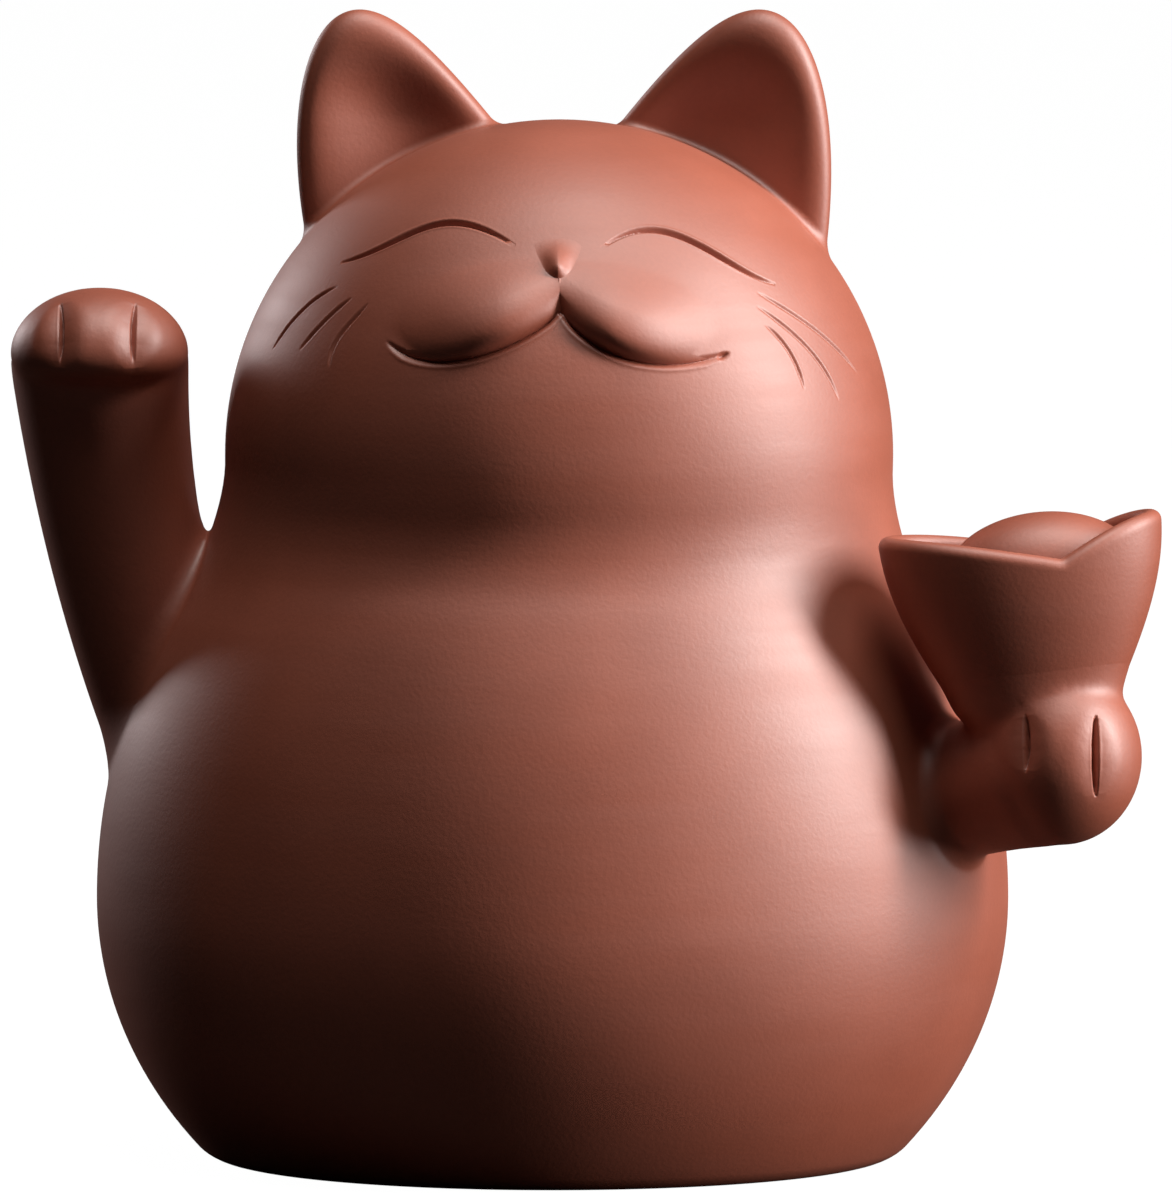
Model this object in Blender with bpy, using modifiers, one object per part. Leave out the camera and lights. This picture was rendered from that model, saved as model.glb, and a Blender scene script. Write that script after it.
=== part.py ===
"""Beckoning cat ornament in unglazed red-brown stoneware, built up from luted pieces of clay.

Units are metres. The face looks along -Y, +X is the viewer's right and +Z is up. The origin is the
centre of the flat base. Left and right in the names are the cat's own, so the raised right arm is at -X.
"""
import math

import bmesh
import bpy
from mathutils import Matrix, Vector

MM = 0.001

# Clay
WALL = 4.0 * MM
JOINT_GAP = 0.3 * MM  # layer of slip between two luted pieces

# Belly: an egg that is widest low down and cut flat for the base
BELLY_WIDTH = 82.2 * MM
BELLY_DEPTH = 72.0 * MM
BELLY_LEVEL = 23.5 * MM  # height of the widest line
BELLY_DROP = 35.6 * MM  # semi-height of the lower half, before the base cuts it
BELLY_RISE = 46.5 * MM  # semi-height of the upper half at the sides and the back
CHEST_RISE = 52.0 * MM  # semi-height of the upper half at the chest
FOOT_ROUND = 1.2 * MM
FOOT_OPENING = 40.0 * MM
VENT_DIAMETER = 6.0 * MM
VENT_OFFSET = 10.0 * MM

# Head: a ball a little shallower than wide
HEAD_WIDTH = 60.0 * MM
HEAD_DEPTH = 55.0 * MM
HEAD_HEIGHT = 60.0 * MM
HEAD_LEVEL = 63.6 * MM
HEAD_FORWARD = 1.5 * MM
HEAD_ASIDE = 0.6 * MM
NECK_BLEND = 8.0 * MM  # how far the neck is rounded at the sides and the back
CHIN_BLEND = 3.0 * MM  # how far it is rounded under the chin

# Ears: leaves with a parabola for an outline, dished in front
EAR_HEIGHT = 26.0 * MM  # from the tip down to the root inside the head
EAR_HALF_WIDTH = 14.7 * MM  # at the root
EAR_THICKNESS = 7.4 * MM
EAR_TIP_ROUND = 5.0 * MM
EAR_DISH = 4.6 * MM
EAR_TIP_OUT = 17.9 * MM
EAR_TIP_RISE = 9.8 * MM  # above the top of the head
EAR_BACK = 2.0 * MM  # behind the middle of the head
EAR_ASIDE = 0.5 * MM  # both ears sit a little towards the cat's left
EAR_LEAN = 0.315  # sideways shift of the leaf for each unit of height
EAR_TURN = math.radians(12)  # how far the dish faces inward

# Face
EYE_LEVEL = 85.5 * MM
EYE_PEAK_OUT = 9.3 * MM
EYE_INNER_OUT = 3.9 * MM
EYE_OUTER_OUT = 19.4 * MM
EYE_DROP = 5.4 * MM  # from the peak to the outer end
EYE_GROOVE = 1.0 * MM
PAD_LENGTH = 16.2 * MM
PAD_DROP = 3.8 * MM  # from the middle of the pad down to the mouth
PAD_RISE = 6.5 * MM  # from the middle of the pad up the face
PAD_BULGE = 2.1 * MM
PAD_SINK = 1.0 * MM  # depth of the middle of the egg under the face
PAD_LEVEL = 76.4 * MM
PAD_ROLL = math.radians(11)
NOSE_WIDTH = 3.4 * MM
NOSE_HEIGHT = 2.6 * MM
NOSE_BULGE = 1.0 * MM
NOSE_LEVEL = 81.4 * MM

# Raised right arm and paw
RAISED_SHOULDER_LEVEL = 39.0 * MM
RAISED_SHOULDER_TURN = math.radians(-92)  # round the body from the front
RAISED_ROOT_DEPTH = 6.0 * MM
RAISED_OUT = 2.1 * MM
RAISED_FORWARD = 3.0 * MM
RAISED_RISE = 31.5 * MM
RAISED_BOW = 1.3 * MM
RAISED_ARM_DIAMETER = 13.8 * MM
RAISED_PAW_WIDTH = 16.4 * MM
RAISED_PAW_DEPTH = 15.0 * MM
RAISED_PAW_HEIGHT = 12.4 * MM
RAISED_PAW_NOD = 3.6 * MM  # how far the paw hangs in front of the wrist
RAISED_PAW_LIFT = 2.1 * MM
RAISED_TOE_LIFT = math.radians(-20)  # how far up the toe grooves start

# Left arm and paw under the ingot
INGOT_SHOULDER_LEVEL = 33.8 * MM
INGOT_SHOULDER_TURN = math.radians(66)
INGOT_ROOT_DEPTH = 5.0 * MM
INGOT_ARM_OUT = 8.5 * MM
INGOT_ARM_FORWARD = 6.0 * MM
INGOT_ARM_RISE = 4.2 * MM
INGOT_ARM_DIAMETER = 12.2 * MM
INGOT_WRIST_BACK = 3.0 * MM  # from the middle of the paw
INGOT_PAW_WIDTH = 14.4 * MM
INGOT_PAW_DEPTH = 14.4 * MM
INGOT_PAW_HEIGHT = 16.0 * MM

# Wrists and toes
WRIST_DOME = 3.5 * MM  # how far the rounded end of an arm reaches into its paw
TOE_SPACING = 6.7 * MM
TOE_GROOVE_WIDTH = 1.0 * MM
TOE_GROOVE_DEPTH = 1.1 * MM
TOE_GROOVE_LENGTH = 8.0 * MM

# Ingot: a boat with two horns, a notch in its rim and a mound in it
INGOT_LENGTH = 25.4 * MM
INGOT_WIDTH = 14.5 * MM
INGOT_NOTCH_HEIGHT = 13.1 * MM  # of the lowest place of the rim
INGOT_NOTCH_PLACE = 0.28  # of the notch, towards the cat's left horn, as a share of half the length
INGOT_HORN_HEIGHT = 3.1 * MM  # above the notch
INGOT_RIM = 1.6 * MM
INGOT_DISH = 3.4 * MM
INGOT_KEEL = 0.56  # size of the flat bottom, and of the dish floor, as a share of the rim
INGOT_ASIDE = -2.1 * MM  # from the middle of the paw
INGOT_SINK = 3.4 * MM  # into the palm
INGOT_ROLL = math.radians(-6)
INGOT_TURN = math.radians(1)
MOUND_LENGTH = 17.0 * MM
MOUND_WIDTH = 10.8 * MM
MOUND_HEIGHT = 10.4 * MM
MOUND_ASIDE = 1.6 * MM  # from the middle of the boat, towards the notch
MOUND_RISE = 3.9 * MM  # above the notch

# Bobtail
TAIL_LEVEL = 13.0 * MM
TAIL_WIDTH = 15.0 * MM
TAIL_HEIGHT = 12.0 * MM
TAIL_BULGE = 5.0 * MM

# Fineness
ROUND_STEPS = 40
FOOT_RINGS = 3
BELLY_RINGS = 16
HEAD_RINGS = 15
PIECE_STEPS = 24
PIECE_RINGS = 12
SMALL_STEPS = 14
SMALL_RINGS = 8
EAR_RINGS = 9
HULL_RINGS = 4
LIMB_RINGS = 9
DOME_RINGS = 4
EYE_STEPS = 9
PROBE_LIFT = 0.1 * MM  # steps that measure a slope of the surface
PROBE_TURN = 0.01
WELD = 0.001 * MM
ABSENT = -1.0  # reach of a form at a height where it is not there

CLAY_COLOUR = (0.235, 0.092, 0.060, 1.0)
BASE_COLOUR = (0.270, 0.115, 0.078, 1.0)


# Scene and helpers

def clear_scene():
    for old in list(bpy.data.objects):
        bpy.data.objects.remove(old, do_unlink=True)


def make_collection(name):
    group = bpy.data.collections.new(name)
    bpy.context.scene.collection.children.link(group)
    return group


def make_clay(name, colour, roughness):
    clay = bpy.data.materials.new(name)
    clay.use_nodes = True
    shader = clay.node_tree.nodes["Principled BSDF"]
    shader.inputs["Base Color"].default_value = colour
    shader.inputs["Roughness"].default_value = roughness
    shader.inputs["Metallic"].default_value = 0.0
    clay.diffuse_color = colour
    return clay


def wrapped_grid(name, around, along, shape, close_ends=False):
    """Mesh object from a grid primitive whose points go to shape(u, v), u round the form and v up it."""
    bm = bmesh.new()
    bmesh.ops.create_grid(bm, x_segments=around, y_segments=along, size=0.5)
    ends = {0: [], along: []}
    for vert in bm.verts:
        row = round((vert.co.y + 0.5) * along)
        vert.co = shape(vert.co.x + 0.5, row / along)
        if row in ends:
            ends[row].append(vert)
    if close_ends:
        for row_verts in ends.values():
            middle = sum((vert.co for vert in row_verts), Vector()) / len(row_verts)
            for vert in row_verts:
                vert.co = middle
    bmesh.ops.remove_doubles(bm, verts=bm.verts, dist=WELD)
    mesh = bpy.data.meshes.new(name)
    bm.to_mesh(mesh)
    bm.free()
    mesh.shade_smooth()
    mesh.set_sharp_from_angle(angle=math.radians(40))
    return bpy.data.objects.new(name, mesh)


def add_piece(obj, clay):
    obj.data.materials.append(clay)
    pieces.objects.link(obj)
    obj.parent = figure
    return obj


def add_cutter(obj):
    cutters.objects.link(obj)
    obj.hide_render = True
    obj.display_type = "WIRE"
    return obj


def seat_cutter(obj):
    """Copy of a whole form, grown by the joint gap, to cut the seat out of a neighbour."""
    copy = bpy.data.objects.new(obj.name + "_seat", obj.data)
    copy.matrix_world = obj.matrix_world
    grow = copy.modifiers.new("joint gap", "DISPLACE")
    grow.strength = JOINT_GAP
    grow.mid_level = 0.0
    return add_cutter(copy)


def cut(obj, cutter):
    seat = obj.modifiers.new(cutter.name, "BOOLEAN")
    seat.operation = "DIFFERENCE"
    seat.object = cutter


def ball_point(u, v, size):
    """Point on an ellipsoid of a full size, u round it from the front and v from bottom to top."""
    turn = u * math.tau
    lift = (v - 0.5) * math.pi
    flat = math.cos(lift) / 2
    x = size[0] * flat * math.sin(turn)
    y = -size[1] * flat * math.cos(turn)
    return Vector((x, y, size[2] / 2 * math.sin(lift)))


def make_ball(name, size, around=PIECE_STEPS, along=PIECE_RINGS):
    return wrapped_grid(name, around, along, lambda u, v: ball_point(u, v, size))


# Figure: the one smooth form that belly and head share

def soft_max(a, b, blend):
    """The larger of two reaches, rounded over where they differ by less than the blend."""
    overlap = max(blend - abs(a - b), 0.0) / blend
    return max(a, b) + overlap * overlap * blend / 4


def oval_half(half, semi_height, level):
    share = level / semi_height
    if abs(share) > 1.0:
        return ABSENT
    return half * math.sqrt(1.0 - share * share)


def belly_half(z, half, rise):
    level = z - BELLY_LEVEL
    return oval_half(half, rise if level > 0 else BELLY_DROP, level)


def head_half(z, half):
    return oval_half(half, HEAD_HEIGHT / 2, z - HEAD_LEVEL)


def foot_inset(z):
    """How far the rounded foot edge draws the outline in, close to the base."""
    low = max(FOOT_ROUND - z, 0.0)
    return FOOT_ROUND - math.sqrt(FOOT_ROUND * FOOT_ROUND - low * low)


def reach(z, belly_size, rise, head_size, shift, blend):
    belly = belly_half(z, belly_size / 2, rise)
    head = head_half(z, head_size / 2) + shift
    return soft_max(belly, head, blend) - foot_inset(z)


def figure_section(z):
    """Middle and half-sizes of the oval section at a height."""
    right = reach(z, BELLY_WIDTH, BELLY_RISE, HEAD_WIDTH, HEAD_ASIDE, NECK_BLEND)
    left = reach(z, BELLY_WIDTH, BELLY_RISE, HEAD_WIDTH, -HEAD_ASIDE, NECK_BLEND)
    front = reach(z, BELLY_DEPTH, CHEST_RISE, HEAD_DEPTH, HEAD_FORWARD, CHIN_BLEND)
    back = reach(z, BELLY_DEPTH, BELLY_RISE, HEAD_DEPTH, -HEAD_FORWARD, NECK_BLEND)
    return (right - left) / 2, (back - front) / 2, (right + left) / 2, (back + front) / 2


def figure_point(z, turn):
    """Point of the surface at a height, turned round the body from the front towards +X."""
    mid_x, mid_y, half_x, half_y = figure_section(z)
    return Vector((mid_x + half_x * math.sin(turn), mid_y - half_y * math.cos(turn), z))


def figure_normal(z, turn):
    across = figure_point(z, turn + PROBE_TURN) - figure_point(z, turn - PROBE_TURN)
    upward = figure_point(z + PROBE_LIFT, turn) - figure_point(z - PROBE_LIFT, turn)
    return across.cross(upward).normalized()


def turn_at(x, z):
    """Turn round the body at which the front surface has a given x."""
    mid_x, mid_y, half_x, half_y = figure_section(z)
    return math.asin(max(-1.0, min(1.0, (x - mid_x) / half_x)))


def surface_frame(z, turn, roll=0.0):
    """Frame on the surface: local -Y points out, local Z up along it."""
    normal = figure_normal(z, turn)
    side = normal.cross(Vector((0.0, 0.0, -1.0))).normalized()
    rows = Matrix((side, -normal, side.cross(-normal))).transposed()
    return Matrix.Translation(figure_point(z, turn)) @ rows.to_4x4() @ Matrix.Rotation(roll, 4, "Y")


def find_neck():
    """Height at which belly and head are equally wide."""
    low, high = BELLY_LEVEL, HEAD_LEVEL
    for _ in range(40):
        middle = (low + high) / 2
        if belly_half(middle, BELLY_WIDTH / 2, BELLY_RISE) > head_half(middle, HEAD_WIDTH / 2):
            low = middle
        else:
            high = middle
    return (low + high) / 2


def belly_heights():
    foot = [FOOT_ROUND * (1 - math.cos(step * math.pi / 2 / FOOT_RINGS)) for step in range(FOOT_RINGS)]
    wall = find_neck() - JOINT_GAP / 2 - FOOT_ROUND
    return foot + [FOOT_ROUND + wall * step / BELLY_RINGS for step in range(BELLY_RINGS + 1)]


def head_heights():
    start = math.asin((find_neck() + JOINT_GAP / 2 - HEAD_LEVEL) * 2 / HEAD_HEIGHT)
    lifts = [start + (math.pi / 2 - start) * step / HEAD_RINGS for step in range(HEAD_RINGS + 1)]
    return [HEAD_LEVEL + HEAD_HEIGHT / 2 * math.sin(lift) for lift in lifts]


def make_rings(name, heights, inner_rings=(), close_ends=False):
    """Surface through the figure's sections, after any flat rings of the base."""
    rows = len(inner_rings) + len(heights) - 1

    def shape(u, v):
        row = round(v * rows)
        turn = u * math.tau
        if row < len(inner_rings):
            radius = inner_rings[row]
            return Vector((radius * math.sin(turn), -radius * math.cos(turn), 0.0))
        return figure_point(heights[row - len(inner_rings)], turn)

    return wrapped_grid(name, ROUND_STEPS, rows, shape, close_ends)


def thicken(obj):
    shell = obj.modifiers.new("wall", "SOLIDIFY")
    shell.thickness = WALL
    shell.offset = -1.0


def make_belly():
    belly = make_rings("belly_shell", belly_heights(), [FOOT_OPENING / 2])
    thicken(belly)
    return add_piece(belly, clay)


def make_eye_cutter(name, side):
    """Tube along a closed eye, an arch on the surface of the face."""
    curve = bpy.data.curves.new(name, "CURVE")
    curve.dimensions = "3D"
    curve.bevel_depth = EYE_GROOVE / 2
    curve.bevel_resolution = 1
    curve.use_fill_caps = True
    spline = curve.splines.new("POLY")
    spline.points.add(EYE_STEPS)
    for step, point in enumerate(spline.points):
        out = EYE_INNER_OUT + (EYE_OUTER_OUT - EYE_INNER_OUT) * step / EYE_STEPS
        z = EYE_LEVEL - EYE_DROP * ((out - EYE_PEAK_OUT) / (EYE_OUTER_OUT - EYE_PEAK_OUT)) ** 2
        point.co = (*figure_point(z, turn_at(side * out, z)), 1.0)
    tube = bpy.data.objects.new(name, curve)
    cutters.objects.link(tube)
    solid = mesh_of(tube)
    bpy.data.objects.remove(tube)
    return add_cutter(solid)


def mesh_of(tube):
    """Closed mesh object with the shape of a curve object."""
    graph = bpy.context.evaluated_depsgraph_get()
    mesh = bpy.data.meshes.new_from_object(tube.evaluated_get(graph))
    bm = bmesh.new()
    bm.from_mesh(mesh)
    bmesh.ops.remove_doubles(bm, verts=bm.verts, dist=WELD)
    bm.to_mesh(mesh)
    bm.free()
    return bpy.data.objects.new(tube.name + "_solid", mesh)


def make_head():
    head = make_rings("head_shell", head_heights())
    thicken(head)
    cut(head, make_eye_cutter("right_eye_groove", -1))
    cut(head, make_eye_cutter("left_eye_groove", 1))
    return add_piece(head, clay)


def make_base_disc():
    """Disc that closes the foot, with a vent hole behind the middle."""
    disc_size = FOOT_OPENING - 2 * JOINT_GAP
    bpy.ops.mesh.primitive_cylinder_add(
        vertices=ROUND_STEPS, radius=disc_size / 2, depth=WALL, location=(0, 0, WALL / 2)
    )
    disc = bpy.context.object
    disc.name = "base_disc"
    bpy.ops.mesh.primitive_cylinder_add(
        vertices=PIECE_STEPS, radius=VENT_DIAMETER / 2, depth=3 * WALL, location=(0, VENT_OFFSET, 0)
    )
    vent = bpy.context.object
    vent.name = "vent_hole"
    for obj in (disc, vent):
        for group in list(obj.users_collection):
            group.objects.unlink(obj)
    cut(disc, add_cutter(vent))
    return add_piece(disc, base_clay)


# Ears

def ear_point(u, v, side):
    """Point of a leaf that hangs from its tip at the local origin."""
    drop = EAR_HEIGHT * (1 - v) ** 2
    angle = u * math.tau
    half = EAR_HALF_WIDTH * (1 - v)
    thick = EAR_THICKNESS / 2 * math.sqrt(min(drop / EAR_TIP_ROUND, 1.0))
    across = half * math.sin(angle)
    depth = -thick * math.cos(angle)
    if math.cos(angle) > 0:
        depth += EAR_DISH * math.cos(angle) ** 2 * min(drop / EAR_TIP_ROUND, 1.0)
    return Vector((across - side * EAR_LEAN * drop, depth, -drop))


def make_ear(name, side):
    ear = wrapped_grid(name, PIECE_STEPS, EAR_RINGS, lambda u, v: ear_point(u, v, side), close_ends=True)
    head_top = HEAD_LEVEL + HEAD_HEIGHT / 2
    tip_x = HEAD_ASIDE + EAR_ASIDE + side * EAR_TIP_OUT
    ear.location = (tip_x, EAR_BACK - HEAD_FORWARD, head_top + EAR_TIP_RISE)
    ear.rotation_euler = (0.0, 0.0, -side * EAR_TURN)
    cut(ear, figure_seat)
    return add_piece(ear, clay)


# Muzzle and nose

def make_pad(name, side):
    """Half of the muzzle, an egg laid on the face from the middle line outwards."""
    size = (PAD_LENGTH, 2 * (PAD_BULGE + PAD_SINK), 2 * PAD_DROP)

    def shape(u, v):
        point = ball_point(u, v, size)
        if point.z > 0:
            point.z *= PAD_RISE / PAD_DROP
        return point

    pad = wrapped_grid(name, PIECE_STEPS, PIECE_RINGS, shape)
    middle = HEAD_ASIDE / 2 + side * (PAD_LENGTH + JOINT_GAP) / 2
    sunk = Matrix.Translation((0.0, PAD_SINK, 0.0))
    pad.matrix_world = surface_frame(PAD_LEVEL, turn_at(middle, PAD_LEVEL), side * PAD_ROLL) @ sunk
    cut(pad, figure_seat)
    return add_piece(pad, clay)


def make_nose():
    nose = make_ball("nose", (NOSE_WIDTH, 2 * NOSE_BULGE, NOSE_HEIGHT), SMALL_STEPS, SMALL_RINGS)
    nose.matrix_world = surface_frame(NOSE_LEVEL, turn_at(HEAD_ASIDE / 2, NOSE_LEVEL))
    cut(nose, figure_seat)
    return add_piece(nose, clay)


def make_tail():
    tail = make_ball("tail", (TAIL_WIDTH, 2 * TAIL_BULGE, TAIL_HEIGHT))
    tail.matrix_world = surface_frame(TAIL_LEVEL, math.pi)
    cut(tail, figure_seat)
    return add_piece(tail, clay)


# Arms and paws

def make_limb(name, start, bend, end, diameter):
    """Round limb along a curved line, cut flat at the root and domed at the wrist."""
    rows = 1 + LIMB_RINGS + DOME_RINGS

    def shape(u, v):
        row = round(v * rows) - 1
        t = min(max(row, 0) / LIMB_RINGS, 1.0)
        dome = max(row - LIMB_RINGS, 0) / DOME_RINGS * math.pi / 2
        along = ((bend - start) * (1 - t) + (end - bend) * t).normalized()
        middle = start * (1 - t) ** 2 + bend * 2 * t * (1 - t) + end * t ** 2
        middle = middle + along * WRIST_DOME * math.sin(dome)
        right = along.cross(Vector((0.0, 1.0, 0.0))).normalized()
        forward = right.cross(along)
        turn = u * math.tau
        return middle + (right * math.sin(turn) + forward * math.cos(turn)) * diameter / 2 * math.cos(dome)

    return wrapped_grid(name, PIECE_STEPS, rows, shape, close_ends=True)


def shoulder(level, turn, depth):
    """Surface point of a shoulder and the root of its arm inside the body."""
    surface = figure_point(level, turn)
    return surface, surface - figure_normal(level, turn) * depth


def cut_toes(paw, width, depth, lift=0.0):
    """Two grooves over the front of a paw, where a blade was pressed in, turned up by a lift."""
    front = depth / 2 * math.sqrt(1 - (TOE_SPACING / width) ** 2)
    size = (TOE_GROOVE_WIDTH, 2 * TOE_GROOVE_DEPTH, TOE_GROOVE_LENGTH)
    for name, side in (("right", -1), ("left", 1)):
        groove = make_ball(f"{paw.name}_{name}_groove", size, SMALL_STEPS, SMALL_RINGS)
        place = Matrix.Translation((side * TOE_SPACING / 2, -front, 0.0))
        groove.matrix_world = paw.matrix_world @ Matrix.Rotation(lift, 4, "X") @ place
        cut(paw, add_cutter(groove))


def make_raised_arm():
    surface, root = shoulder(RAISED_SHOULDER_LEVEL, RAISED_SHOULDER_TURN, RAISED_ROOT_DEPTH)
    wrist = surface + Vector((-RAISED_OUT, -RAISED_FORWARD, RAISED_RISE))
    bend = (root + wrist) / 2 + Vector((-2 * RAISED_BOW, 0.0, 0.0))
    arm = make_limb("raised_arm", root, bend, wrist, RAISED_ARM_DIAMETER)
    paw = make_ball("raised_paw", (RAISED_PAW_WIDTH, RAISED_PAW_DEPTH, RAISED_PAW_HEIGHT))
    paw.matrix_world = Matrix.Translation(wrist + Vector((0.0, -RAISED_PAW_NOD, RAISED_PAW_LIFT)))
    cut(paw, seat_cutter(arm))
    cut_toes(paw, RAISED_PAW_WIDTH, RAISED_PAW_DEPTH, RAISED_TOE_LIFT)
    cut(arm, figure_seat)
    add_piece(arm, clay)
    add_piece(paw, clay)


def make_ingot_arm():
    surface, root = shoulder(INGOT_SHOULDER_LEVEL, INGOT_SHOULDER_TURN, INGOT_ROOT_DEPTH)
    palm = surface + Vector((INGOT_ARM_OUT, -INGOT_ARM_FORWARD, INGOT_ARM_RISE))
    wrist = palm - (palm - root).normalized() * INGOT_WRIST_BACK
    arm = make_limb("ingot_arm", root, (root + wrist) / 2, wrist, INGOT_ARM_DIAMETER)
    paw = make_ball("ingot_paw", (INGOT_PAW_WIDTH, INGOT_PAW_DEPTH, INGOT_PAW_HEIGHT))
    paw.matrix_world = Matrix.Translation(palm)
    boat = make_boat(palm)
    cut(paw, seat_cutter(arm))
    cut(paw, seat_cutter(boat))
    cut_toes(paw, INGOT_PAW_WIDTH, INGOT_PAW_DEPTH)
    cut(arm, figure_seat)
    cut(arm, seat_cutter(boat))
    add_piece(arm, clay)
    add_piece(paw, clay)


# Ingot

def boat_rim(turn):
    """Height of the rim round the boat, which rises from the notch to a horn at each end."""
    along = math.sin(turn) - INGOT_NOTCH_PLACE
    share = along / (1 - INGOT_NOTCH_PLACE) if along > 0 else -along / (1 + INGOT_NOTCH_PLACE)
    return INGOT_NOTCH_HEIGHT + INGOT_HORN_HEIGHT * math.sin(share * math.pi / 2)


def boat_point(u, row):
    """Point of the boat: from the keel up the hull, over the rim and down into the dish."""
    turn = u * math.tau
    lift = min(max(row - 1, 0) / HULL_RINGS, 1.0)
    height = boat_rim(turn) * lift
    rise = height / (INGOT_NOTCH_HEIGHT + INGOT_HORN_HEIGHT)
    share = INGOT_KEEL + (1.0 - INGOT_KEEL) * math.sin(rise * math.pi / 2)
    over = row - 1 - HULL_RINGS
    if over == 1:
        share -= 2 * INGOT_RIM / INGOT_WIDTH
    if over > 1:
        share = INGOT_KEEL
        height = INGOT_NOTCH_HEIGHT - INGOT_DISH
    x = INGOT_LENGTH / 2 * share * math.sin(turn)
    y = -INGOT_WIDTH / 2 * share * math.cos(turn)
    return Vector((x, y, height))


def make_boat(palm):
    rows = HULL_RINGS + 4
    boat = wrapped_grid(
        "ingot_boat", PIECE_STEPS, rows, lambda u, v: boat_point(u, round(v * rows)), close_ends=True
    )
    seat = palm + Vector((INGOT_ASIDE, 0.0, INGOT_PAW_HEIGHT / 2 - INGOT_SINK))
    tilt = Matrix.Rotation(INGOT_TURN, 4, "Z") @ Matrix.Rotation(INGOT_ROLL, 4, "Y")
    boat.matrix_world = Matrix.Translation(seat) @ tilt
    mound = make_ball("ingot_mound", (MOUND_LENGTH, MOUND_WIDTH, MOUND_HEIGHT))
    mound_level = INGOT_NOTCH_HEIGHT + MOUND_RISE - MOUND_HEIGHT / 2
    mound.matrix_world = boat.matrix_world @ Matrix.Translation((MOUND_ASIDE, 0.0, mound_level))
    cut(mound, seat_cutter(boat))
    add_piece(mound, clay)
    return add_piece(boat, clay)


clear_scene()
pieces = make_collection("beckoning_cat_ornament")
cutters = make_collection("cutters")
figure = bpy.data.objects.new("figure", None)
pieces.objects.link(figure)
clay = make_clay("burnished clay", CLAY_COLOUR, 0.5)
base_clay = make_clay("bare clay", BASE_COLOUR, 0.75)

figure_heights = belly_heights() + head_heights()
whole_figure = make_rings("whole_figure", figure_heights, [FOOT_OPENING / 2], close_ends=True)
figure_seat = seat_cutter(whole_figure)
bpy.data.objects.remove(whole_figure)

make_belly()
make_base_disc()
make_head()
make_ear("right_ear", -1)
make_ear("left_ear", 1)
make_pad("right_muzzle_pad", -1)
make_pad("left_muzzle_pad", 1)
make_nose()
make_raised_arm()
make_ingot_arm()
make_tail()
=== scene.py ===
# %% [markdown]
# # A beckoning cat in red-brown clay
# The figure is a small ornament of unglazed, burnished stoneware. A potter builds it from a
# hollow belly and head, then lutes on ears, arms, paws, a bobtail and a boat-shaped ingot with
# slip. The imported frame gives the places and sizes. This lesson gives each piece its soft clay
# skin.

# %% Load the frame
import math

import bpy
import numpy as np
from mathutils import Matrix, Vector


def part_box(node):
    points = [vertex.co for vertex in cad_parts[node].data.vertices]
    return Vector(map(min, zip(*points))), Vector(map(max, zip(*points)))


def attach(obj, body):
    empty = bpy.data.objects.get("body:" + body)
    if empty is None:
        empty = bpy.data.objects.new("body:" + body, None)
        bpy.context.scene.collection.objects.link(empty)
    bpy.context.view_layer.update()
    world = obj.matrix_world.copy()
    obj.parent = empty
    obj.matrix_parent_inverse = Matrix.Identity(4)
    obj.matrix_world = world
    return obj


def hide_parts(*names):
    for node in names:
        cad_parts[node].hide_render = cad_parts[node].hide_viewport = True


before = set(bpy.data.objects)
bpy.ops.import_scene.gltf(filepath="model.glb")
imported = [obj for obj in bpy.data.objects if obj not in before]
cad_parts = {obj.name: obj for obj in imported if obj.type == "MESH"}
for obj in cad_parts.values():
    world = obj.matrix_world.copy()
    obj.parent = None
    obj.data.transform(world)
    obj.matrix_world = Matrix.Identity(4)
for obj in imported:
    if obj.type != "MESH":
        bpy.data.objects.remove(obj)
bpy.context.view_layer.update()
MM = 0.001
print("nodes in the frame:", sorted(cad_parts))

# %% [markdown]
# ## Sizes of the body
# Belly and head are two egg forms that run into each other at the neck. Their outer sizes are
# read from the frame, so the skin fits it. The heights of the widest lines and the roundness of
# the neck can't be read from a box, so they are written down here.

# %% Sizes of the body
belly_low, belly_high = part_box("belly_shell")
head_low, head_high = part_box("head_shell")
BELLY_HALF_WIDTH = (belly_high.x - belly_low.x) / 2
BELLY_HALF_DEPTH = (belly_high.y - belly_low.y) / 2
BELLY_LEVEL = 23.5 * MM
BELLY_DROP = 35.6 * MM
BELLY_RISE = 46.5 * MM
CHEST_RISE = 52.0 * MM
FOOT_ROUND = 1.2 * MM
FOOT_OPENING = 40.0 * MM
HEAD_TOP = head_high.z
HEAD_RADIUS = 30.0 * MM
HEAD_HALF_DEPTH = 27.5 * MM
HEAD_LEVEL = HEAD_TOP - HEAD_RADIUS
HEAD_FORWARD = 1.5 * MM
HEAD_ASIDE = 0.6 * MM
NECK_LEVEL = (belly_high.z + head_low.z) / 2
NECK_BLEND = 8.0 * MM
CHIN_BLEND = 3.0 * MM
WALL = 4.0 * MM
WELD = 0.002 * MM
print(f"belly {2000 * BELLY_HALF_WIDTH:.1f} mm wide, neck at {1000 * NECK_LEVEL:.1f} mm")

# %% [markdown]
# ## The form of the body
# At every height the body is an oval. Its reach to each side is the larger of the belly's and
# the head's, rounded where the two are close, which makes the soft neck. These functions give
# points and outward directions of that skin, and every other piece of clay is seated on them.

# %% The form of the body
END_GAP = 0.3 * MM
POLE_GAP = 0.2 * MM
TURN_STEP = 0.01
RISE_STEP = 0.1 * MM


def soft_max(a, b, blend):
    overlap = np.clip(blend - np.abs(a - b), 0.0, None) / blend
    return np.maximum(a, b) + overlap ** 2 * blend / 4


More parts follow.
